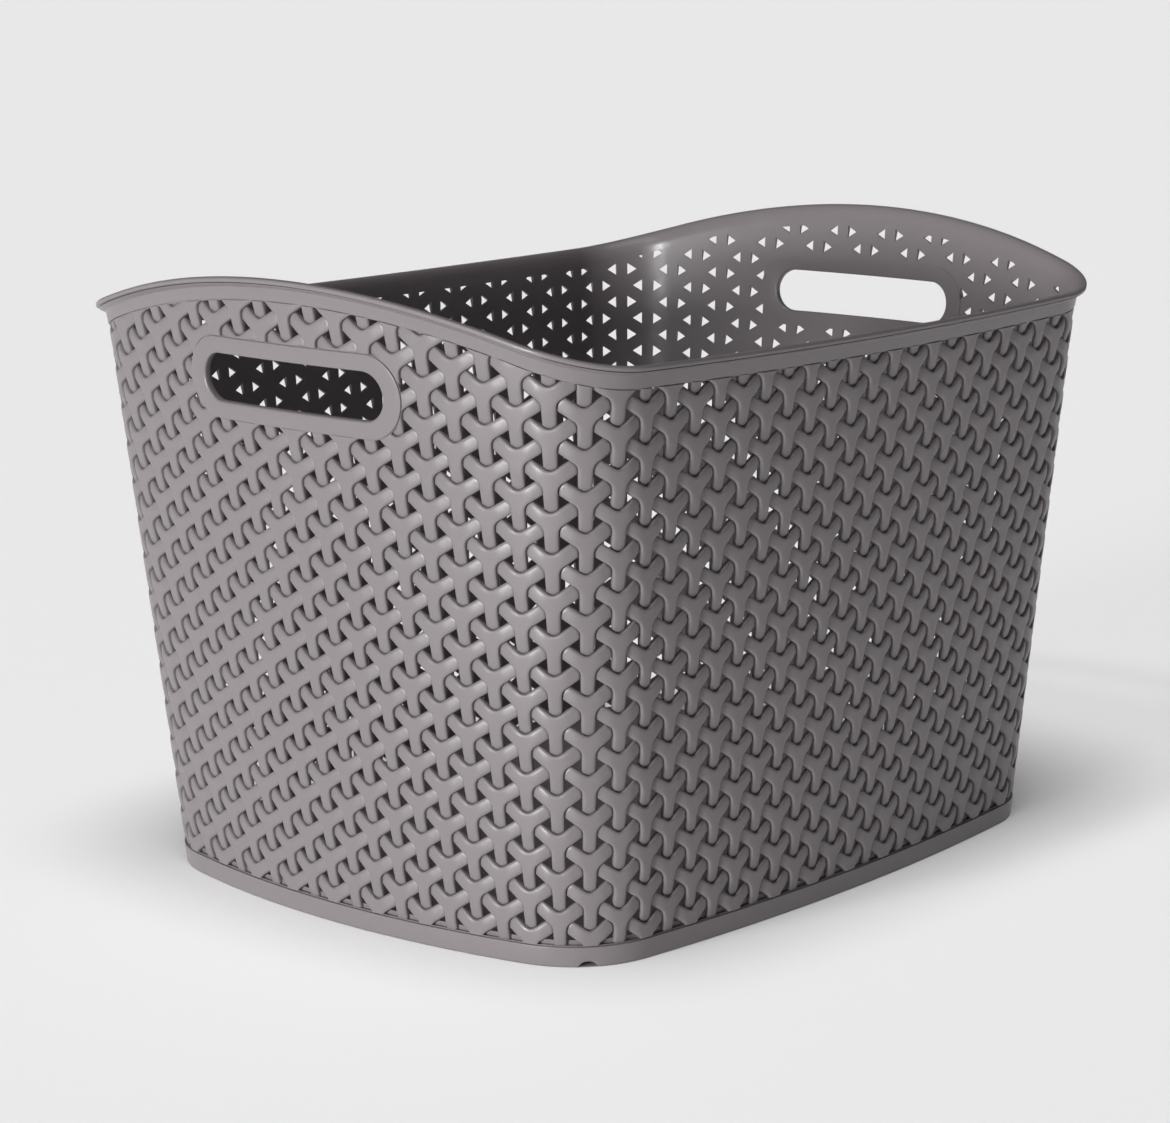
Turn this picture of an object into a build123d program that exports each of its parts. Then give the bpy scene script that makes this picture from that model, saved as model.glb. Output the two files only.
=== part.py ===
from build123d import *
from math import hypot, sqrt
import os

# Injection-moulded storage bin with a woven-look wall.
# Millimetres, +Z up. X runs along the plain walls, Y along the handle walls.
# The origin is the centre of the footprint, on the surface the bin stands on.

# ---- driving dimensions ----------------------------------------------------
PITCH = 16.5                     # height of one row of the weave
BIN_HEIGHT = 272.7               # floor to the crest of the rim, over a handle
GAUGE_HEIGHT = 15 * PITCH        # height at which the upper outline is given

# Outline of the outer skin: four gently bowed walls joined by corner arcs.
# (half length, half width, corner radius, bow radius of the plain walls,
#  bow radius of the handle walls)
BASE_OUTLINE = (173.9, 137.7, 43.2, 1038.0, 415.0)
UPPER_OUTLINE = (194.8, 149.8, 39.5, 2705.0, 546.0)

WALL = 2.4                       # wall thickness
ARCH_RADIUS = 25 * PITCH         # the rim line is one arc seen from the handle side
LIP_HEIGHT = 4.2                 # lip along the top edge
LIP_REACH = 4.6                  # how far the lip stands out from the wall
BAND_HEIGHT = 6.6                # smooth band under the lip
BASE_BAND_HEIGHT = 9.1           # smooth band round the foot

FLOOR_LIFT = 4.0                 # underside of the floor above the ground
FLOOR_THICKNESS = 2.5

HANDLE_HEIGHT = 13.82 * PITCH    # centre of each hand slot
SLOT_LENGTH = 102.5
SLOT_HEIGHT = 20.0
SLOT_ROUND = 0.8                 # rounding of the slot's edges
FRAME_LENGTH = 121.0
FRAME_HEIGHT = 34.8
FRAME_PROUD = 0.6                # handle frame above the skin, outside and inside

NOTCH_RADIUS = 3.8               # drain notch under each corner of the foot
NOTCH_HEIGHT = 2.3

# Width of the wall panels between the corner panels, at the base and at the
# gauge height.
PLAIN_PANEL_HALF = (126.0, 146.0)
HANDLE_PANEL_HALF = (95.0, 113.0)

# ---- construction sizes ----------------------------------------------------
LOFT_TOP = 300.0                 # walls are drawn past the rim, then trimmed
REACH = 260.0                    # half size of the trimming blocks
EDGE_NEAR = 0.3                  # slack when picking the edges that lie on a slot
PARTS = "parts"


def outline_at(height, inset):
    """Outline numbers at a height, moved inwards by inset."""
    share = height / GAUGE_HEIGHT
    return [low + (high - low) * share - inset
            for low, high in zip(BASE_OUTLINE, UPPER_OUTLINE)]


def quarter_points(outline):
    """Ends and middles of the corner arc in the +X +Y quarter."""
    half_x, half_y, corner, bow_plain, bow_handle = outline
    plain_centre = Vector(0, half_y - bow_plain)
    handle_centre = Vector(half_x - bow_handle, 0)
    # The corner centre lies at a known distance from both bow centres.
    to_plain = bow_plain - corner
    to_handle = bow_handle - corner
    gap = plain_centre - handle_centre
    span = hypot(gap.X, gap.Y)
    along = (to_handle ** 2 - to_plain ** 2 + span ** 2) / (2 * span)
    across = sqrt(to_handle ** 2 - along ** 2)
    unit = gap / span
    centre = handle_centre + unit * along + Vector(-unit.Y, unit.X) * across
    plain_end = plain_centre + (centre - plain_centre).normalized() * bow_plain
    handle_end = handle_centre + (centre - handle_centre).normalized() * bow_handle
    middle = centre + ((plain_end + handle_end) * 0.5 - centre).normalized() * corner
    return plain_end, middle, handle_end


def outline_wire(height, inset):
    """Closed outline: eight arcs, each tangent to the next."""
    outline = outline_at(height, inset)
    half_x, half_y = outline[0], outline[1]
    plain, middle, handle = quarter_points(outline)

    def at(point, side_x, side_y):
        return Vector(side_x * point.X, side_y * point.Y, height)

    front = Vector(0, -half_y, height)
    back = Vector(0, half_y, height)
    right = Vector(half_x, 0, height)
    left = Vector(-half_x, 0, height)
    arcs = [
        (at(plain, -1, -1), front, at(plain, 1, -1)),
        (at(plain, 1, -1), at(middle, 1, -1), at(handle, 1, -1)),
        (at(handle, 1, -1), right, at(handle, 1, 1)),
        (at(handle, 1, 1), at(middle, 1, 1), at(plain, 1, 1)),
        (at(plain, 1, 1), back, at(plain, -1, 1)),
        (at(plain, -1, 1), at(middle, -1, 1), at(handle, -1, 1)),
        (at(handle, -1, 1), left, at(handle, -1, -1)),
        (at(handle, -1, -1), at(middle, -1, -1), at(plain, -1, -1)),
    ]
    return Wire([Edge.make_three_point_arc(*arc) for arc in arcs])


def tub(inset):
    """Solid tapered block inside the outline moved inwards by inset."""
    return Solid.make_loft([outline_wire(0, inset), outline_wire(LOFT_TOP, inset)], ruled=True)


def slab(bottom, top):
    """Wide flat block between two heights."""
    block = Box(2 * REACH, 2 * REACH, top - bottom)
    return block.moved(Location((0, 0, (bottom + top) / 2)))


def under_arch(drop):
    """Everything below the rim arch lowered by drop."""
    crest = BIN_HEIGHT - drop
    half = 0.8 * REACH
    side = crest - ARCH_RADIUS + sqrt(ARCH_RADIUS ** 2 - half ** 2)
    arc = Edge.make_three_point_arc(Vector(0, -half, side), Vector(0, 0, crest), Vector(0, half, side))
    rest = Wire.make_polygon(
        [Vector(0, half, side), Vector(0, half, -REACH), Vector(0, -half, -REACH), Vector(0, -half, side)],
        close=False,
    )
    face = Face(Wire([arc] + list(rest.edges())))
    return extrude(face, REACH, dir=(1, 0, 0), both=True)


def wedge(half_widths, towards):
    """Block that holds one wall panel; its sides lean with the wall's taper."""
    low, high = half_widths
    top = low + (high - low) * LOFT_TOP / GAUGE_HEIGHT
    corners = [(-low, 0), (low, 0), (top, LOFT_TOP), (-top, LOFT_TOP)]
    if towards.Y:
        points = [Vector(across, 0, up) for across, up in corners]
    else:
        points = [Vector(0, across, up) for across, up in corners]
    return extrude(Face(Wire.make_polygon(points)), REACH, dir=towards)


def stadium(length, height):
    """Stadium bar along X through both handle walls."""
    sketch = SlotOverall(length, height)
    plane = Plane(origin=(0, 0, HANDLE_HEIGHT), x_dir=(0, 1, 0), z_dir=(1, 0, 0))
    return extrude(plane * sketch, REACH, both=True)


def side_block(side_x):
    """Half space on one side of the middle, for picking one handle wall."""
    block = Box(REACH, 2 * REACH, 2 * REACH)
    return block.moved(Location((side_x * (REACH / 2 + 1), 0, HANDLE_HEIGHT)))


def quarter_block(side_x, side_y):
    """One quarter of the plan, for picking one corner panel."""
    block = Box(REACH, REACH, 2 * REACH)
    return block.moved(Location((side_x * REACH / 2, side_y * REACH / 2, HANDLE_HEIGHT)))


def notch_bars():
    """Round bars along both diagonals that cut the drain notches."""
    point = quarter_points(BASE_OUTLINE)[1]
    middle = Vector(0, 0, NOTCH_HEIGHT - NOTCH_RADIUS)
    bars = []
    for side in (1, -1):
        plane = Plane(origin=middle, z_dir=(point.X, side * point.Y, 0))
        bars.append(plane * Cylinder(NOTCH_RADIUS, 2 * REACH))
    return bars


def make_base_band(shell):
    band = shell & slab(0, BASE_BAND_HEIGHT)
    for bar in notch_bars():
        band = band - bar
    return band


def make_floor(inner):
    return inner & slab(FLOOR_LIFT, FLOOR_LIFT + FLOOR_THICKNESS)


def make_weave_walls(shell):
    """The woven zone, cut into four wall panels and four corner panels."""
    zone = shell & slab(BASE_BAND_HEIGHT, LOFT_TOP) & under_arch(LIP_HEIGHT + BAND_HEIGHT)
    frame_bar = stadium(FRAME_LENGTH, FRAME_HEIGHT)
    wedges = {
        "front_wall": wedge(PLAIN_PANEL_HALF, Vector(0, -1, 0)),
        "back_wall": wedge(PLAIN_PANEL_HALF, Vector(0, 1, 0)),
        "left_handle_wall": wedge(HANDLE_PANEL_HALF, Vector(-1, 0, 0)),
        "right_handle_wall": wedge(HANDLE_PANEL_HALF, Vector(1, 0, 0)),
    }
    panels = {}
    for name, block in wedges.items():
        panels[name] = zone & block
    for name in ("left_handle_wall", "right_handle_wall"):
        panels[name] = panels[name] - frame_bar
    corners = zone
    for block in wedges.values():
        corners = corners - block
    for name_y, side_y in (("front", -1), ("back", 1)):
        for name_x, side_x in (("left", -1), ("right", 1)):
            panels[f"{name_y}_{name_x}_corner"] = corners & quarter_block(side_x, side_y)
    return panels


def soften_slot(frame):
    """Round the long edges of one hand slot, outside and inside."""
    body = frame.solids()[0]
    shortest = 2 * (WALL + 2 * FRAME_PROUD)

    def on_slot(edge):
        point = edge.position_at(0.5)
        along = abs(point.Y) < SLOT_LENGTH / 2 + EDGE_NEAR
        upright = abs(point.Z - HANDLE_HEIGHT) < SLOT_HEIGHT / 2 + EDGE_NEAR
        return along and upright and edge.length > shortest

    return body.fillet(SLOT_ROUND, [edge for edge in body.edges() if on_slot(edge)])


def make_handle_frames():
    """Smooth stadium frames round the two hand slots."""
    ring = tub(-FRAME_PROUD) - tub(WALL + FRAME_PROUD)
    ring = ring & stadium(FRAME_LENGTH, FRAME_HEIGHT)
    ring = ring - stadium(SLOT_LENGTH, SLOT_HEIGHT)
    return {
        "left_handle_frame": soften_slot(ring & side_block(-1)),
        "right_handle_frame": soften_slot(ring & side_block(1)),
    }


def make_rim_band(shell):
    return (shell & under_arch(LIP_HEIGHT)) - under_arch(LIP_HEIGHT + BAND_HEIGHT)


def make_rim_lip(inner):
    """Out-turned lip along the whole rim."""
    return (tub(-LIP_REACH) & under_arch(0)) - under_arch(LIP_HEIGHT) - inner


def build_nodes():
    outer = tub(0)
    inner = tub(WALL)
    shell = outer - inner
    nodes = {
        "floor_panel": make_floor(inner),
        "base_band": make_base_band(shell),
        "rim_band": make_rim_band(shell),
        "rim_lip": make_rim_lip(inner),
    }
    nodes.update(make_weave_walls(shell))
    nodes.update(make_handle_frames())
    return nodes


def main():
    os.makedirs(PARTS, exist_ok=True)
    for name, shape in build_nodes().items():
        solids = shape.solids()
        body = solids[0] if len(solids) == 1 else Compound(children=list(solids))
        box = body.bounding_box()
        print(name, len(solids), round(body.volume), [round(v, 2) for v in (*box.min, *box.max)])
        export_step(body, f"{PARTS}/{name}.step")


main()
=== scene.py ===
import math

import bmesh
import bpy
import numpy as np
from mathutils import Matrix, Vector


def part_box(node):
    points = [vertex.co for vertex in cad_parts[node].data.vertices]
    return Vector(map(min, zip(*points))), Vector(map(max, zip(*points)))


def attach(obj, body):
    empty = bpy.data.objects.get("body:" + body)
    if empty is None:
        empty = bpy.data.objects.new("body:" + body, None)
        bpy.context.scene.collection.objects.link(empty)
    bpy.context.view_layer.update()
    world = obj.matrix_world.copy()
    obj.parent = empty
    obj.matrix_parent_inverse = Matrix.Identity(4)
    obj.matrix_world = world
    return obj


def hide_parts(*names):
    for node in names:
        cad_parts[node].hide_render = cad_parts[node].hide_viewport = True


# Looks of an injection-moulded storage bin whose walls are a lattice of interlocking Y shapes.
# Metres, +Z up. Places on the skin are given as a turn and a height: turn counts quarters of
# the outline, 0 at the middle of the front wall, 1 at the right handle wall, 2 at the back.

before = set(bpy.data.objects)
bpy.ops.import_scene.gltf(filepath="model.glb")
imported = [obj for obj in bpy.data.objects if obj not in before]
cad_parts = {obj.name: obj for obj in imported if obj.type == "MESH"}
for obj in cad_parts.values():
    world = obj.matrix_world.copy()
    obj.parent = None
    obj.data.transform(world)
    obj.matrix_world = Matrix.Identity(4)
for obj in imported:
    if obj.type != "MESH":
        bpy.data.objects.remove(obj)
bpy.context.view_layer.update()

# ---- driving sizes, in metres ----------------------------------------------
PITCH = 0.0165                   # height of one row of the lattice
COLUMNS = 88                     # lattice columns round the bin
QUARTER = COLUMNS / 4            # columns in one turn
FRONT_COLUMN = 12                # column at the middle of the front wall
GAUGE_HEIGHT = 15 * PITCH        # height at which the upper outline is given

# Outline of the outer skin: half length, half width, corner radius, bow radius of the
# plain walls, bow radius of the handle walls.
BASE_OUTLINE = (0.1739, 0.1377, 0.0432, 1.038, 0.415)
UPPER_OUTLINE = (0.1948, 0.1498, 0.0395, 2.705, 0.546)
ARCH_RADIUS = 25 * PITCH         # the rim line is one arc seen from the handle side

THICKNESS = 0.0027               # skin of the lattice and the bands
RIM_HEIGHT = 0.0042              # the out-turned lip
BAND_HEIGHT = 0.0066             # the smooth band under the lip

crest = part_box("rim_lip")[1].z
base_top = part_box("base_band")[1].z
floor_low, floor_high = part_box("floor_panel")[0].z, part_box("floor_panel")[1].z
frame_low, frame_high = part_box("right_handle_frame")
handle_z = (frame_low.z + frame_high.z) / 2
BORDER_LENGTH = frame_high.y - frame_low.y
BORDER_HEIGHT = frame_high.z - frame_low.z
SLOT_LENGTH = 0.1025
SLOT_HEIGHT = 0.0200


# ---- the skin --------------------------------------------------------------
RIM_ROUNDS = 6                   # rounds of the search for the rim's height
NEWTON_ROUNDS = 8                # rounds and step of the search for a turn
NEWTON_STEP = 0.01
ROUGH_QUARTER = 0.3              # rough length of a quarter of the outline, to start with


class Outline:
    """One level outline, followed along its arcs from the middle of a plain wall."""

    def __init__(self, half_x, half_y, corner, bow_plain, bow_handle):
        self.corner, self.bow_plain, self.bow_handle = corner, bow_plain, bow_handle
        self.plain_y = half_y - bow_plain
        self.handle_x = half_x - bow_handle
        to_plain, to_handle = bow_plain - corner, bow_handle - corner
        gap = Vector((-self.handle_x, self.plain_y))
        span = gap.length
        along = (to_handle ** 2 - to_plain ** 2 + span ** 2) / (2 * span)
        across = math.sqrt(to_handle ** 2 - along ** 2)
        unit = gap / span
        sideways = Vector((-unit.y, unit.x))
        self.centre = Vector((self.handle_x, 0)) + unit * along + sideways * across
        self.turn_plain = math.atan2(self.centre.x, self.centre.y - self.plain_y)
        self.turn_handle = math.atan2(self.centre.y, self.centre.x - self.handle_x)
        self.turn_corner = math.pi / 2 - self.turn_plain - self.turn_handle
        self.plain_run = bow_plain * self.turn_plain
        self.corner_run = corner * self.turn_corner
        self.length = self.plain_run + self.corner_run + bow_handle * self.turn_handle

    def at(self, share):
        """Points and directions at a share of the quarter's length."""
        run = np.clip(share, 0, 1) * self.length
        past = run - self.plain_run
        past_corner = past - self.corner_run
        on_plain, on_corner = past < 0, past_corner < 0
        facing = np.select(
            [on_plain, on_corner],
            [run / self.bow_plain, self.turn_plain + past / self.corner],
            math.pi / 2 - self.turn_handle + past_corner / self.bow_handle,
        )
        radius = np.select([on_plain, on_corner], [self.bow_plain, self.corner], self.bow_handle)
        centre_x = np.select([on_plain, on_corner], [0.0, self.centre.x], self.handle_x)
        centre_y = np.select([on_plain, on_corner], [self.plain_y, self.centre.y], 0.0)
        place = np.stack(
            [centre_x + radius * np.sin(facing), centre_y + radius * np.cos(facing)], -1)
        run_way = np.stack([np.cos(facing), -np.sin(facing)], -1) * self.length
        return place, run_way


base_outline = Outline(*BASE_OUTLINE)
upper_outline = Outline(*UPPER_OUTLINE)


def skin(turn, height):
    """Points of the outer skin and its outward unit normals."""
    turn, height = np.broadcast_arrays(np.mod(turn, 4.0), np.asarray(height, float))
    quarter = np.floor(turn)
    share = np.where(quarter % 2 == 0, turn - quarter, quarter + 1 - turn)
    front = (turn < 1) | (turn >= 3)
    side = np.stack([np.where(turn < 2, 1.0, -1.0), np.where(front, -1.0, 1.0)], -1)
    part = (height / GAUGE_HEIGHT)[..., None]
    low, low_run = base_outline.at(share)
    high, high_run = upper_outline.at(share)
    place = low + (high - low) * part
    run = low_run + (high_run - low_run) * part
    lean = (high - low) / GAUGE_HEIGHT
    drop = run[..., 0] * lean[..., 1] - run[..., 1] * lean[..., 0]
    normal = np.stack([-run[..., 1] * side[..., 0], run[..., 0] * side[..., 1], -drop], -1)
    normal /= np.linalg.norm(normal, axis=-1, keepdims=True)
    return np.concatenate([place * side, height[..., None]], -1), normal


def rim_line(turn):
    """Height of the lip's top along the rim."""
    height = np.full(np.shape(turn), crest)
    for _ in range(RIM_ROUNDS):
        across = skin(turn, height)[0][..., 1]
        height = crest - ARCH_RADIUS + np.sqrt(ARCH_RADIUS ** 2 - across ** 2)
    return height


def level_skin(turn, height):
    """Points of the outer skin and the level unit directions out of it."""
    place, normal = skin(turn, height)
    return place, normal[:, :2] / np.linalg.norm(normal[:, :2], axis=1, keepdims=True)


def turn_on_handle_wall(side, across, height):
    """The turn at which a handle wall reaches a place across the bin."""
    def across_at(turn):
        return skin(turn, height)[0][..., 1]

    middle = 1.0 if side > 0 else 3.0
    turn = middle + side * across / ROUGH_QUARTER
    for _ in range(NEWTON_ROUNDS):
        rise = across_at(turn + NEWTON_STEP) - across_at(turn - NEWTON_STEP)
        turn = turn - (across_at(turn) - across) / (rise / (2 * NEWTON_STEP))
    return turn


# ---- mesh helpers ----------------------------------------------------------
SHARP_ANGLE = 40                 # faces that turn more than this, in degrees, meet in a hard edge
FILLET_STEPS = 4                 # steps round a rounded corner of a section
ARC_POINTS = 5


def new_object(name, points, faces, material, fill=False):
    """A smooth-shaded mesh object with hard edges only where faces turn sharply."""
    mesh = bpy.data.meshes.new(name)
    mesh.from_pydata(np.asarray(points).tolist(), [], faces)
    work = bmesh.new()
    work.from_mesh(mesh)
    if fill:
        open_edges = [edge for edge in work.edges if edge.is_boundary]
        filled = bmesh.ops.holes_fill(work, edges=open_edges, sides=0)["faces"]
        bmesh.ops.triangulate(work, faces=filled)
    bmesh.ops.recalc_face_normals(work, faces=work.faces)
    work.to_mesh(mesh)
    work.free()
    mesh.shade_smooth()
    mesh.set_sharp_from_angle(angle=math.radians(SHARP_ANGLE))
    mesh.materials.append(material)
    made = bpy.data.objects.new(name, mesh)
    bpy.context.scene.collection.objects.link(made)
    return made


def grid_faces(rows, columns, closed_rows=True):
    """Quads of a grid of points that is closed along its columns."""
    faces = []
    for i in range(rows if closed_rows else rows - 1):
        row, next_row = i * columns, (i + 1) % rows * columns
        for j in range(columns):
            beside = (j + 1) % columns
            faces.append((row + j, next_row + j, next_row + beside, row + beside))
    return faces


def rounded(corners):
    """A closed section from (x, y, radius) corners, with an arc at each rounded one."""
    section = []
    count = len(corners)
    for k, (x, y, radius) in enumerate(corners):
        here = Vector((x, y))
        if radius == 0:
            section.append((x, y))
            continue
        before = (Vector(corners[k - 1][:2]) - here).normalized()
        after = (Vector(corners[(k + 1) % count][:2]) - here).normalized()
        half = before.angle(after) / 2
        cut = radius / math.tan(half)
        centre = here + (before + after).normalized() * radius / math.sin(half)
        start, end = here + before * cut - centre, here + after * cut - centre
        for step in range(FILLET_STEPS + 1):
            arm = start.slerp(end, step / FILLET_STEPS).normalized() * radius
            section.append(tuple(centre + arm))
    return section


def arc(centre_x, centre_y, radius, start, end):
    """Points along an arc, with its ends given in degrees."""
    turns = np.radians(np.linspace(start, end, ARC_POINTS))
    return [(centre_x + radius * math.cos(turn), centre_y + radius * math.sin(turn))
            for turn in turns]


# ---- the lattice -----------------------------------------------------------
# One Y in units of the pitch: three arms from its middle, at 30, 150 and 270 degrees. Each
# arm's end tucks under the pocket between two arms of the next Y. Half an arm is a grid: its
# rows follow the pocket, then the side of the triangular hole, then the rounded end.
ARM_HALF = 0.188                 # half width of an arm
POCKET_RADIUS = 0.20             # rounding between two arms
HALF_GAP = math.radians(60)      # half the angle between two arms
POCKET_CENTRE = (ARM_HALF + POCKET_RADIUS) / math.sin(HALF_GAP)
POCKET_DEPTH = POCKET_CENTRE - POCKET_RADIUS
HOLE_START = ARM_HALF / math.tan(math.radians(30))
EDGE_ROUND = 0.030               # rounding along every edge
SHOULDER = 0.085                 # width of the soft slope beside the flat top of an arm
SHOULDER_DROP = 0.030            # how far that slope falls
SLOPE_RUN = (0.05, 0.36)         # where along the arm that slope grows
TUCK = 0.064                     # how deep an arm's end lies
TUCK_RUN = (0.28, 0.72)          # where along the arm it goes down
INSETS = (0.0, EDGE_ROUND * 0.3, EDGE_ROUND, SHOULDER)  # grid lines along an arm
BACK = THICKNESS / PITCH
COLUMN_STEP = math.cos(math.radians(30))
CROTCH_HEIGHT = 0.92             # a pocket of the even columns, in pitches above the ground
ARMS = (-90, 30, 150)
LEFT_NEIGHBOURS = (150, 210)     # directions towards the neighbours in the column on the left
RIGHT_NEIGHBOURS = (30, 330)
LOWER_NEIGHBOURS = (210, 330)
WEAVE_ROWS = 17
ROWS = 10
HOLE_ROW = 3                     # first row beside the triangular hole
TIP_ROW = 6                      # first row beside the neighbour's pocket
ROW_TURN = 15                    # degrees between the rows round a pocket or an end
HOLE_SIDE = (HOLE_START, 0.43, 0.56)  # places of the rows beside the hole
# Places of all the rows on the arm's middle line.
MIDDLE_LINE = (0.0, 0.10, 0.21, HOLE_START, 0.42, 0.52, 0.60, 0.63, 0.63, 0.63)


def smooth(low, high, value):
    """0 up to low, 1 from high on, and an S curve between them."""
    part = min(max((value - low) / (high - low), 0.0), 1.0)
    return part * part * (3 - 2 * part)


def arm_point(row, inset):
    """A point of half an arm, at an inset from its edge, as (along, across)."""
    if row < HOLE_ROW:
        turn = math.radians(ROW_TURN * row - 120)
        reach = POCKET_RADIUS + inset
        return (POCKET_CENTRE * math.cos(HALF_GAP) + reach * math.cos(turn),
                POCKET_CENTRE * math.sin(HALF_GAP) + reach * math.sin(turn))
    if row < TIP_ROW:
        return HOLE_SIDE[row - HOLE_ROW], ARM_HALF - inset
    if row == TIP_ROW:
        return 1 - HOLE_START - inset * math.tan(math.radians(30)), ARM_HALF - inset
    turn = math.radians(ROW_TURN * (ROWS - 1 - row))
    reach = POCKET_RADIUS - inset
    return 1 - POCKET_CENTRE + reach * math.cos(turn), reach * math.sin(turn)


def surface_depth(along, inset):
    """Height of the top of an arm, at or below the skin."""
    shoulder = max(1 - inset / SHOULDER, 0.0) ** 2
    slope = SHOULDER_DROP * smooth(*SLOPE_RUN, along) * shoulder
    edge = max(EDGE_ROUND - inset, 0.0)
    rounding = EDGE_ROUND - math.sqrt(EDGE_ROUND ** 2 - edge ** 2)
    return -TUCK * smooth(*TUCK_RUN, along) - slope - rounding


def lattice_piece(missing):
    """Points (x, y, depth) and triangles of one Y, closed towards the missing neighbours."""
    points, lookup, faces = [], {}, []

    def add(x, y, depth):
        key = (round(x, 6), round(y, 6), round(depth, 6))
        if key not in lookup:
            lookup[key] = len(points)
            points.append((x, y, depth))
        return lookup[key]

    def face(*corners):
        for a, b in zip(corners[1:], corners[2:]):
            if len({corners[0], a, b}) == 3:
                faces.append((corners[0], a, b))

    for arm in ARMS:
        angle = math.radians(arm)
        for hand in (1, -1):
            missing_tip = arm in missing
            missing_pocket = (arm + 60 * hand) % 360 in missing

            def put(along, across, depth):
                across = across * hand
                return add(along * math.cos(angle) - across * math.sin(angle),
                           along * math.sin(angle) + across * math.cos(angle), depth)

            def emit(*corners):
                face(*(corners if hand > 0 else corners[::-1]))

            top, back = [], []
            for row in range(ROWS):
                spots = [arm_point(row, inset) for inset in INSETS]
                across_row = [put(*spot, surface_depth(spot[0], inset))
                              for spot, inset in zip(spots, INSETS)]
                middle = (MIDDLE_LINE[row], 0.0)
                across_row.append(put(*middle, surface_depth(middle[0], SHOULDER)))
                top.append(across_row)
                back.append((put(*spots[0], -BACK), put(*middle, -BACK)))
            for row in range(ROWS - 1):
                for j in range(len(INSETS)):
                    emit(top[row][j], top[row][j + 1], top[row + 1][j + 1], top[row + 1][j])
                emit(back[row][0], back[row + 1][0], back[row + 1][1], back[row][1])

            # The step down to the end of the neighbour's arm, along the pocket.
            sunk = []
            for row in range(HOLE_ROW + 1):
                tip = arm_point(ROWS - 1 - row, 0.0)
                sunk.append(put(*arm_point(row, 0.0), surface_depth(tip[0], 0.0)))
            for row in range(HOLE_ROW):
                emit(top[row][0], top[row + 1][0], sunk[row + 1], sunk[row])
                if missing_pocket:
                    emit(sunk[row], sunk[row + 1], back[row + 1][0], back[row][0])
            # The wall of the triangular hole, and of the end where no neighbour takes it.
            emit(top[HOLE_ROW][0], top[HOLE_ROW + 1][0], sunk[HOLE_ROW])
            emit(sunk[HOLE_ROW], top[HOLE_ROW + 1][0], back[HOLE_ROW + 1][0], back[HOLE_ROW][0])
            for row in range(HOLE_ROW + 1, ROWS - 1 if missing_tip else TIP_ROW):
                emit(top[row][0], top[row + 1][0], back[row + 1][0], back[row][0])
    return np.array(points), np.array(faces)


WELD_CELL = 1e-5                 # points in one cell are joined
WELD_SHIFT = 0.137               # keeps round numbers away from the borders of the cells


def weld(points, faces):
    """Joins points that lie in the same place and drops the faces that collapse."""
    keys = np.round(points / WELD_CELL + WELD_SHIFT).astype(np.int64)
    _, first, index = np.unique(keys, axis=0, return_index=True, return_inverse=True)
    faces = index.reshape(-1)[faces]
    a, b, c = faces.T
    return points[first], faces[(a != b) & (b != c) & (c != a)]


def clip(points, faces, keep):
    """Cuts triangles along keep = 0 and drops the negative side."""
    inside = keep >= 0
    count = inside[faces].sum(1)
    kept = [faces[count == 3]]
    mixed = faces[(count == 1) | (count == 2)]
    if len(mixed):
        flags = inside[mixed]
        lone_flag = flags.sum(1) == 1
        lone = np.argmax(flags == lone_flag[:, None], axis=1)
        rows = np.arange(len(mixed))
        a, b, c = (mixed[rows, (lone + k) % 3] for k in range(3))

        def cut(start, end):
            edges = np.sort(np.stack([start, end], 1), axis=1)
            near, far = edges.T
            part = (keep[near] / (keep[near] - keep[far]))[:, None]
            return edges, points[near] * (1 - part) + points[far] * part

        edges_ab, cut_ab = cut(a, b)
        edges_ac, cut_ac = cut(a, c)
        edges, first, index = np.unique(np.concatenate([edges_ab, edges_ac]), axis=0,
                                        return_index=True, return_inverse=True)
        added = np.concatenate([cut_ab, cut_ac])[first]
        index = index.reshape(-1) + len(points)
        ab, ac = index[:len(mixed)], index[len(mixed):]
        points = np.concatenate([points, added])
        one, two = lone_flag, ~lone_flag
        kept.append(np.stack([a[one], ab[one], ac[one]], 1))
        kept.append(np.stack([ab[two], b[two], c[two]], 1))
        kept.append(np.stack([ab[two], c[two], ac[two]], 1))
    faces = np.concatenate(kept)
    used, faces = np.unique(faces, return_inverse=True)
    return points[used], faces.reshape(-1, 3)


def turn_of(points):
    """The turn of lattice points, whose first number is a column."""
    return (points[:, 0] - FRONT_COLUMN) / QUARTER


def stadium_distance(across, up, length, height):
    """Distance outside a stadium, negative inside."""
    straight = (length - height) / 2
    return np.hypot(np.maximum(np.abs(across) - straight, 0), up) - height / 2


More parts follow.
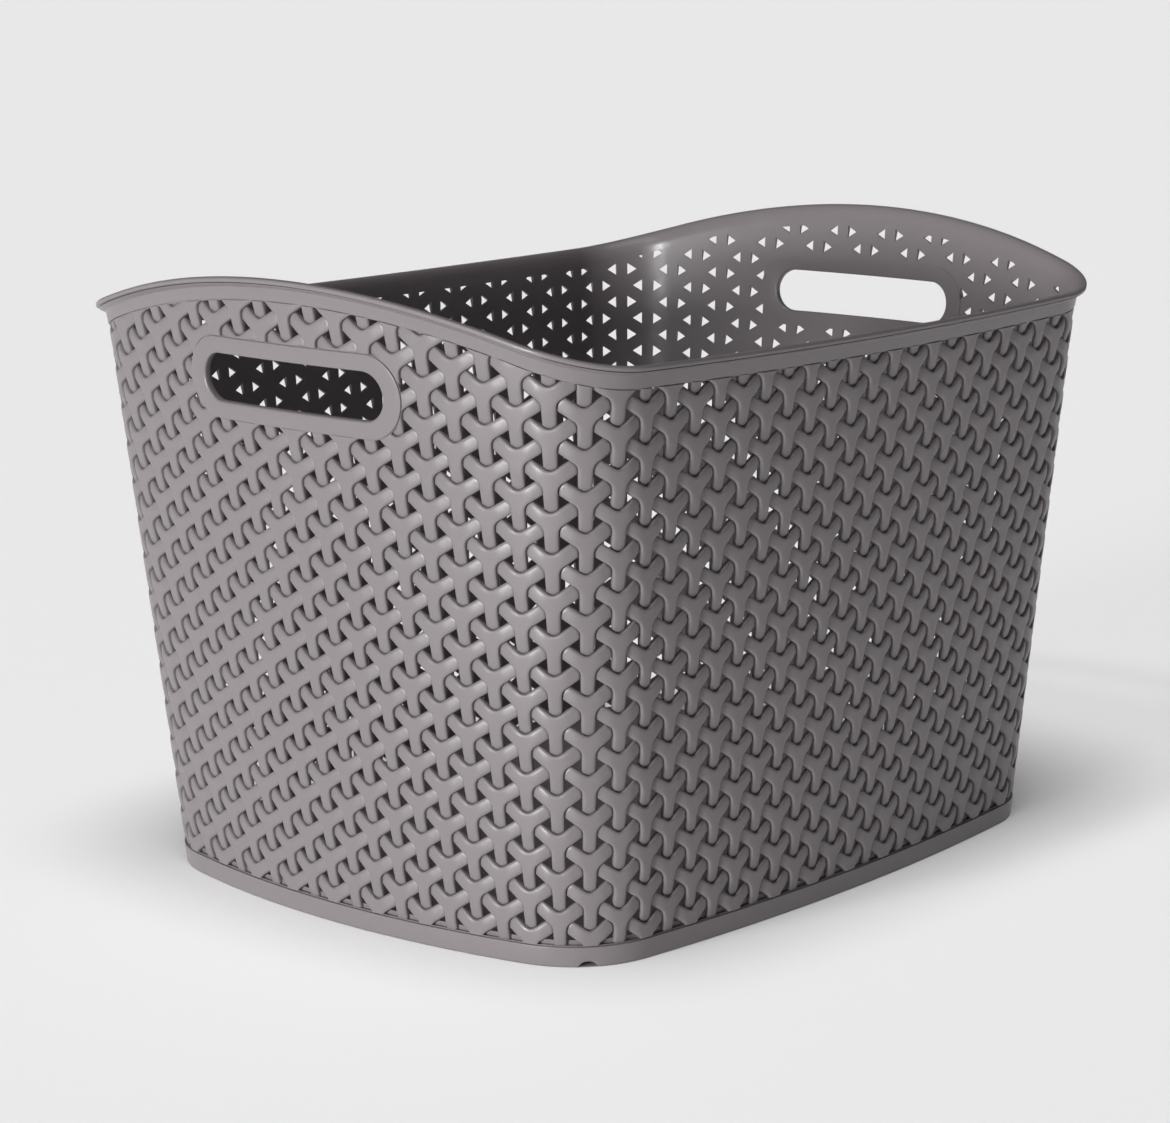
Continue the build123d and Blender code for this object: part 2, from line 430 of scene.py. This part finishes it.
def weave(name, first, last, material, handle=False):
    """The lattice of one wall panel or corner panel, from its first to its last column."""
    pieces = {}
    clouds, meshes, total = [], [], 0
    for column in range(first, last + 1):
        lowest = CROTCH_HEIGHT - POCKET_DEPTH + (0.5 if column % 2 else 0.0)
        for row in range(WEAVE_ROWS):
            missing = frozenset(
                (LEFT_NEIGHBOURS if column == first else ())
                + (RIGHT_NEIGHBOURS if column == last else ())
                + (LOWER_NEIGHBOURS if row == 0 and column % 2 == 0 else ()))
            if missing not in pieces:
                pieces[missing] = lattice_piece(missing)
            points, faces = pieces[missing]
            placed = points + [0, lowest + row, 0]
            placed[:, 0] = column + points[:, 0] / COLUMN_STEP
            clouds.append(placed)
            meshes.append(faces + total)
            total += len(points)
    points, faces = weld(np.concatenate(clouds), np.concatenate(meshes))
    points, faces = clip(points, faces, points[:, 1] - base_top / PITCH)
    top = rim_line(turn_of(points)) - RIM_HEIGHT - BAND_HEIGHT
    points, faces = clip(points, faces, top - points[:, 1] * PITCH)
    if handle:
        place = skin(turn_of(points), points[:, 1] * PITCH)[0]
        gap = stadium_distance(place[:, 1], place[:, 2] - handle_z, BORDER_LENGTH, BORDER_HEIGHT)
        points, faces = clip(points, faces, gap)
    place, normal = skin(turn_of(points), points[:, 1] * PITCH)
    solid = place + normal * points[:, 2:3] * PITCH
    made = new_object(name, solid, faces.tolist(), material, fill=True)
    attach(made, "root")
    return made


# ---- bands, rim and floor --------------------------------------------------
# A section is a list of (outward, up) places, or of (outward, up, rounding) corners before
# rounded() has drawn them.
def ring(name, turns, heights, sections, material):
    """A closed ring swept round the bin, with one section for each turn."""
    points = []
    for turn, height, section in zip(turns, heights, sections):
        outward, up = np.array(section).T
        place, flat = level_skin(turn, height + up)
        place[:, :2] += flat * outward[:, None]
        points.extend(place)
    faces = grid_faces(len(turns), len(sections[0]))
    made = new_object(name, points, faces, material)
    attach(made, "root")
    return made


RING_TURNS = np.arange(COLUMNS * 4) / QUARTER / 4
SEAM = 0.0005                    # fine groove beside a smooth band
SEAM_DEPTH = 0.0009
FLARE = 0.0022                   # how far the top of the band bends outwards into the lip
LIP_CREST = (0.0024, -0.0009)    # highest point of the lip
BEND_START = -0.0085             # where the inside of the wall starts to bend outwards
BEND_POINTS = 7                  # points along each half of that bend


def rim_pieces(material):
    """The smooth band under the lip, and the lip; heights are taken from the rim line."""
    heights = rim_line(RING_TURNS)
    under = -RIM_HEIGHT
    low = under - BAND_HEIGHT
    across, rise = LIP_CREST[0] + THICKNESS, LIP_CREST[1] - BEND_START
    joint = math.asin((under - BEND_START) / rise)

    def bend(start, end):
        """The inside of the wall, bent outwards to the lip's crest along a quarter ellipse."""
        return [(LIP_CREST[0] - across * math.cos(turn), BEND_START + rise * math.sin(turn))
                for turn in np.linspace(start, end, BEND_POINTS)]

    band = rounded([
        (-THICKNESS, low, 0), (-SEAM_DEPTH, low, 0), (-SEAM_DEPTH, low + SEAM, 0),
        (0.0002, low + SEAM, 0.0003), (0.0005, under - 0.0010, 0.0006), (FLARE, under, 0)])
    band += bend(joint, 0)
    # A narrow groove runs under the lip's outer edge.
    lip = rounded([
        (FLARE, under, 0), (0.0034, -0.0036, 0.0002), (0.0020, -0.0034, 0),
        (0.0042, -0.0030, 0.0003), (0.0043, -0.0012, 0.0010), (*LIP_CREST, 0)])
    lip += bend(math.pi / 2, joint)[1:]
    made = ring("rim_band_moulded", RING_TURNS, heights, [band] * len(heights), material)
    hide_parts("rim_band")
    made = ring("rim_lip_moulded", RING_TURNS, heights, [lip] * len(heights), material)
    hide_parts("rim_lip")


NOTCH_HALF = 0.0043              # half width of a drain notch with its flared sides
NOTCH_HEIGHT = 0.0023
NOTCH_POINTS = 25                # points across a notch
NOTCH_REACH = 1.15               # they reach this many half widths from its middle
NOTCH_CLEAR = 1.3                # the ring's own points keep this many half widths away


def corner_turns():
    """The turn at the middle of each corner of the foot."""
    share = (base_outline.plain_run + base_outline.corner_run / 2) / base_outline.length
    return [share, 2 - share, 2 + share, 4 - share]


def notch_rise(away):
    """How far the foot is cut away at a distance from the notch's middle."""
    part = min(abs(away) / NOTCH_HALF, 1.0)
    return NOTCH_HEIGHT * math.sqrt(max(1 - part ** 2, 0.0)) * (1 - part ** 4)


def base_piece(material):
    """The smooth band round the foot, with a drain notch at each corner."""
    corners = corner_turns()

    def from_notch(turn):
        return min((turn - corner for corner in corners), key=abs) * base_outline.length

    spread = np.linspace(-1, 1, NOTCH_POINTS) * NOTCH_HALF * NOTCH_REACH
    near = [corner + away / base_outline.length for corner in corners for away in spread]
    clear = [turn for turn in RING_TURNS if abs(from_notch(turn)) > NOTCH_CLEAR * NOTCH_HALF]
    turns = np.array(sorted(near + clear))
    sections = []
    for turn in turns:
        rise = notch_rise(from_notch(turn))
        sections.append(rounded([
            (-THICKNESS, rise, 0.0005), (0.0001, rise, 0.0007),
            (0.0002, base_top - SEAM, 0.0003), (-SEAM_DEPTH, base_top - SEAM, 0),
            (-SEAM_DEPTH, base_top, 0), (-THICKNESS, base_top, 0)]))
    made = ring("base_band_moulded", turns, np.zeros(len(turns)), sections, material)
    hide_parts("base_band")


FLOOR_FILLET = 0.0045            # fillet from the floor up to the wall
FILLET_POINTS = 6
FLOOR_SHARES = (0.85, 0.6, 0.3)  # sizes of the rings between the floor's edge and its middle
FLOOR_INSET = THICKNESS * 0.9    # the floor's edge lies just inside the wall


def floor_piece(material):
    """The floor, with a fillet up to the wall above it."""
    edge = [(0.0, floor_low)] + [
        (FLOOR_FILLET * (1 - math.cos(turn)), floor_high + FLOOR_FILLET * (1 - math.sin(turn)))
        for turn in np.linspace(0, math.pi / 2, FILLET_POINTS)]
    rings = []
    for inset, height in edge:
        place, flat = level_skin(RING_TURNS, height)
        place[:, :2] -= flat * (inset + FLOOR_INSET)
        rings.append(place)
    bottom = [rings[0] * (share, share, 1) for share in reversed(FLOOR_SHARES)]
    top = [rings[-1] * (share, share, 1) for share in FLOOR_SHARES]
    rings = bottom + rings + top
    count = len(RING_TURNS)
    faces = grid_faces(len(rings), count, closed_rows=False)
    middle = len(rings) * count
    last = middle - count
    for k in range(count):
        beside = (k + 1) % count
        faces.append((k, beside, middle))
        faces.append((last + k, last + beside, middle + 1))
    points = np.concatenate(rings + [np.array([[0, 0, floor_low], [0, 0, floor_high]])])
    made = new_object("floor_moulded", points, faces, material)
    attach(made, "root")
    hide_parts("floor_panel")


# ---- handle frames ---------------------------------------------------------
STADIUM_STEPS = 24               # points along each straight and each end of a stadium
FRAME_PROUD = 0.0005             # how far a handle frame stands above the lattice
FRAME_INSIDE = 0.0003            # how far it stands proud inside the bin
SLOT_ROUND = 0.0009              # rounding of the slot's edges
BORDER_ROUND = 0.0004
BORDER_SEAM = 0.0003             # width and depth of the fine groove along the border


def stadium_points(length, height):
    """Points round a stadium and the directions out of it, matched for any size."""
    radius, straight = height / 2, (length - height) / 2
    points, ways = [], []
    for end in (1, -1):
        for k in range(STADIUM_STEPS):
            turn = math.pi * (k / STADIUM_STEPS - 0.5)
            way = Vector((math.cos(turn), math.sin(turn))) * end
            ways.append(way)
            points.append(Vector((end * straight, 0)) + way * radius)
        for k in range(STADIUM_STEPS):
            share = k / STADIUM_STEPS
            ways.append(Vector((0, end)))
            points.append(Vector((end * straight * (1 - 2 * share), end * radius)))
    return np.array(points), np.array(ways)


def handle_frame(name, side, material):
    """The smooth ring round one hand slot, with a fine groove along its border."""
    inner = -THICKNESS - FRAME_INSIDE
    at_slot = (arc(SLOT_ROUND, inner + SLOT_ROUND, SLOT_ROUND, 270, 180)
               + arc(SLOT_ROUND, FRAME_PROUD - SLOT_ROUND, SLOT_ROUND, 180, 90))
    edge = -BORDER_SEAM - BORDER_ROUND
    at_border = (arc(edge, FRAME_PROUD - BORDER_ROUND, BORDER_ROUND, 90, 0)
                 + [(-BORDER_SEAM, -BORDER_SEAM), (0.0, -BORDER_SEAM), (0.0, inner)])
    slot_points, ways = stadium_points(SLOT_LENGTH, SLOT_HEIGHT)
    border_points, _ = stadium_points(BORDER_LENGTH, BORDER_HEIGHT)
    flat_points, depths = [], []
    for slot_point, border_point, way in zip(slot_points, border_points, ways):
        flat_points += [slot_point + way * away for away, _ in at_slot]
        flat_points += [border_point + way * away for away, _ in at_border]
        depths += [depth for _, depth in at_slot + at_border]
    flat_points, depths = np.array(flat_points), np.array(depths)
    across, up = flat_points[:, 0], flat_points[:, 1] + handle_z
    place, normal = skin(turn_on_handle_wall(side, across, up), up)
    solid = place + normal * depths[:, None]
    faces = grid_faces(len(slot_points), len(at_slot) + len(at_border))
    made = new_object(name + "_moulded", solid, faces, material)
    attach(made, "root")
    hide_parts(name)


# ---- materials -------------------------------------------------------------
PLASTIC = (0.178, 0.161, 0.166)  # taupe grey, linear
PLASTIC_IOR = 1.49
NOISE_RANGE = (0.3, 0.7)         # part of the noise that is used
SHEEN_SPREAD = 0.05              # roughness above and below its middle value
# Noise scale and detail.
FLOW = (9, 3)
SHEEN = (160, 2)
GRAIN = (2600, 2)
FLOW_SQUASH = (1, 1, 0.35)       # flow marks are drawn out along the height


def moulded_plastic(name, colour, roughness, grain, mottling):
    """Satin moulded plastic: a fine mould grain, soft flow marks and a slightly uneven sheen."""
    material = bpy.data.materials.new(name)
    material.use_nodes = True
    nodes, links = material.node_tree.nodes, material.node_tree.links
    shader = nodes["Principled BSDF"]
    shader.inputs["IOR"].default_value = PLASTIC_IOR
    place = nodes.new("ShaderNodeTexCoord")

    def noise(scale, detail, squash=(1, 1, 1)):
        mapping = nodes.new("ShaderNodeMapping")
        mapping.inputs["Scale"].default_value = squash
        links.new(place.outputs["Object"], mapping.inputs["Vector"])
        texture = nodes.new("ShaderNodeTexNoise")
        texture.inputs["Scale"].default_value = scale
        texture.inputs["Detail"].default_value = detail
        links.new(mapping.outputs["Vector"], texture.inputs["Vector"])
        return texture.outputs["Fac"]

    def spread(source, low, high):
        ranged = nodes.new("ShaderNodeMapRange")
        ranged.inputs["From Min"].default_value = NOISE_RANGE[0]
        ranged.inputs["From Max"].default_value = NOISE_RANGE[1]
        ranged.inputs["To Min"].default_value = low
        ranged.inputs["To Max"].default_value = high
        links.new(source, ranged.inputs["Value"])
        return ranged.outputs["Result"]

    flow = noise(*FLOW, FLOW_SQUASH)
    ramp = nodes.new("ShaderNodeMix")
    ramp.data_type = "RGBA"
    ramp.inputs["A"].default_value = (*[c * (1 - mottling) for c in colour], 1)
    ramp.inputs["B"].default_value = (*[c * (1 + mottling) for c in colour], 1)
    links.new(spread(flow, 0, 1), ramp.inputs["Factor"])
    links.new(ramp.outputs["Result"], shader.inputs["Base Color"])
    sheen = spread(noise(*SHEEN), roughness - SHEEN_SPREAD, roughness + SHEEN_SPREAD)
    links.new(sheen, shader.inputs["Roughness"])
    bump = nodes.new("ShaderNodeBump")
    bump.inputs["Strength"].default_value = 1.0
    bump.inputs["Distance"].default_value = grain
    links.new(noise(*GRAIN), bump.inputs["Height"])
    links.new(bump.outputs["Normal"], shader.inputs["Normal"])
    return material


# Roughness, depth of the grain in metres, and strength of the flow marks.
weave_plastic = moulded_plastic("weave_plastic", PLASTIC, 0.40, 0.00003, 0.02)
smooth_plastic = moulded_plastic("smooth_plastic", PLASTIC, 0.34, 0.00001, 0.02)
floor_plastic = moulded_plastic("floor_plastic", PLASTIC, 0.45, 0.00004, 0.025)

# ---- the bin ---------------------------------------------------------------
HALF_PLAIN = 10                  # lattice columns each side of a plain wall's middle
HALF_HANDLE = 7
for wall, turn, half, handle in (
        ("front_wall", 0, HALF_PLAIN, False), ("right_handle_wall", 1, HALF_HANDLE, True),
        ("back_wall", 2, HALF_PLAIN, False), ("left_handle_wall", 3, HALF_HANDLE, True)):
    column = FRONT_COLUMN + int(QUARTER) * turn
    piece = weave(wall + "_lattice", column - half, column + half, weave_plastic, handle)
    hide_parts(wall)
for corner, turn in (("front_right", 0), ("back_right", 1), ("back_left", 2), ("front_left", 3)):
    column = FRONT_COLUMN + int(QUARTER) * turn
    plain_first = turn % 2 == 0
    first = column + (HALF_PLAIN if plain_first else HALF_HANDLE) + 1
    last = column + int(QUARTER) - (HALF_HANDLE if plain_first else HALF_PLAIN) - 1
    piece = weave(corner + "_corner_lattice", first, last, weave_plastic)
    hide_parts(corner + "_corner")
rim_pieces(smooth_plastic)
base_piece(smooth_plastic)
floor_piece(floor_plastic)
handle_frame("left_handle_frame", -1, smooth_plastic)
handle_frame("right_handle_frame", 1, smooth_plastic)


# ---- stage, light and camera -----------------------------------------------
PAPER_SIZE = 60
PAPER = (0.8, 0.8, 0.8)          # also the colour of the backdrop beyond the paper
PAPER_ROUGHNESS = 0.9
AIR = (1.0, 0.91, 0.94)
AIR_STRENGTH = 0.05
# Azimuth, elevation, strength and spread of each light.
KEY_LIGHT = (-88, 0, 7.2, 16)
EDGE_LIGHT = (-95, 50, 0.40, 6)
TOP_LIGHT = (-60, 78, 0.5, 40)
PAPER_LIGHT = (-60, 80, 2.05, 30)
FILL_LIGHT = (115, 25, 1.8, 30)


def make_floor():
    paper = bpy.data.materials.new("studio_paper")
    paper.use_nodes = True
    shader = paper.node_tree.nodes["Principled BSDF"]
    shader.inputs["Base Color"].default_value = (*PAPER, 1)
    shader.inputs["Roughness"].default_value = PAPER_ROUGHNESS
    shader.inputs["Specular IOR Level"].default_value = 0.0
    bpy.ops.mesh.primitive_plane_add(size=PAPER_SIZE)
    ground = bpy.context.object
    ground.name = "studio_floor"
    ground.data.materials.append(paper)
    return ground


def add_sun(name, azimuth, elevation, strength, spread):
    """A soft light far away; azimuth 0 comes from -Y and 90 from +X."""
    lamp = bpy.data.lights.new(name, "SUN")
    lamp.energy = strength
    lamp.angle = math.radians(spread)
    made = bpy.data.objects.new(name, lamp)
    a, e = math.radians(azimuth), math.radians(elevation)
    towards = Vector((math.sin(a) * math.cos(e), -math.cos(a) * math.cos(e), math.sin(e)))
    made.rotation_euler = towards.to_track_quat("Z", "Y").to_euler()
    bpy.context.scene.collection.objects.link(made)
    return made


def make_air():
    """A faint even light; beyond the paper's edge the camera sees a backdrop as pale as it."""
    world = bpy.data.worlds.new("studio_air")
    world.use_nodes = True
    nodes, links = world.node_tree.nodes, world.node_tree.links
    air = nodes["Background"]
    air.inputs["Color"].default_value = (*AIR, 1)
    air.inputs["Strength"].default_value = AIR_STRENGTH
    backdrop = nodes.new("ShaderNodeBackground")
    backdrop.inputs["Color"].default_value = (*PAPER, 1)
    path, mix = nodes.new("ShaderNodeLightPath"), nodes.new("ShaderNodeMixShader")
    links.new(path.outputs["Is Camera Ray"], mix.inputs["Fac"])
    links.new(air.outputs["Background"], mix.inputs[1])
    links.new(backdrop.outputs["Background"], mix.inputs[2])
    links.new(mix.outputs["Shader"], nodes["World Output"].inputs["Surface"])
    bpy.context.scene.world = world


def make_light(ground):
    """Three lights for everything, one for the paper alone and a dull fill for all but it."""
    add_sun("key_light", *KEY_LIGHT)
    add_sun("edge_light", *EDGE_LIGHT)
    add_sun("top_light", *TOP_LIGHT)
    paper_light = add_sun("paper_light", *PAPER_LIGHT)
    paper_only = bpy.data.collections.new("lit_by_paper_light")
    paper_only.objects.link(ground)
    paper_light.light_linking.receiver_collection = paper_only
    fill_light = add_sun("fill_light", *FILL_LIGHT)
    fill_light.visible_glossy = False
    all_but_paper = bpy.data.collections.new("lit_by_fill_light")
    all_but_paper.objects.link(ground)
    all_but_paper.collection_objects[0].light_linking.link_state = "EXCLUDE"
    fill_light.light_linking.receiver_collection = all_but_paper


CAMERA_PLACE = Vector((-1.0646, -0.9314, 0.4183))
CAMERA_YAW = 0.8600              # turned from +Y towards +X
CAMERA_PITCH = 0.2043            # looking down
CAMERA_ROLL = -0.0037
CAMERA_LENS = 98.69
CAMERA_SENSOR = 36
CAMERA_SHIFT = (-0.0402, 0.0018)
CAMERA_CLIP = (0.05, 100)


def make_camera():
    data = bpy.data.cameras.new("camera")
    data.sensor_width = CAMERA_SENSOR
    data.lens = CAMERA_LENS
    data.shift_x, data.shift_y = CAMERA_SHIFT
    data.clip_start, data.clip_end = CAMERA_CLIP
    camera = bpy.data.objects.new("camera", data)
    ahead = Vector((math.sin(CAMERA_YAW) * math.cos(CAMERA_PITCH),
                    math.cos(CAMERA_YAW) * math.cos(CAMERA_PITCH), -math.sin(CAMERA_PITCH)))
    right = Vector((math.cos(CAMERA_YAW), -math.sin(CAMERA_YAW), 0))
    up = right.cross(ahead)
    rolled_right = right * math.cos(CAMERA_ROLL) + up * math.sin(CAMERA_ROLL)
    rolled_up = up * math.cos(CAMERA_ROLL) - right * math.sin(CAMERA_ROLL)
    camera.matrix_world = Matrix.Translation(CAMERA_PLACE) @ Matrix(
        (rolled_right, rolled_up, -ahead)).transposed().to_4x4()
    bpy.context.scene.collection.objects.link(camera)
    bpy.context.scene.camera = camera


make_air()
make_light(make_floor())
make_camera()
bpy.context.scene.view_settings.view_transform = "Standard"
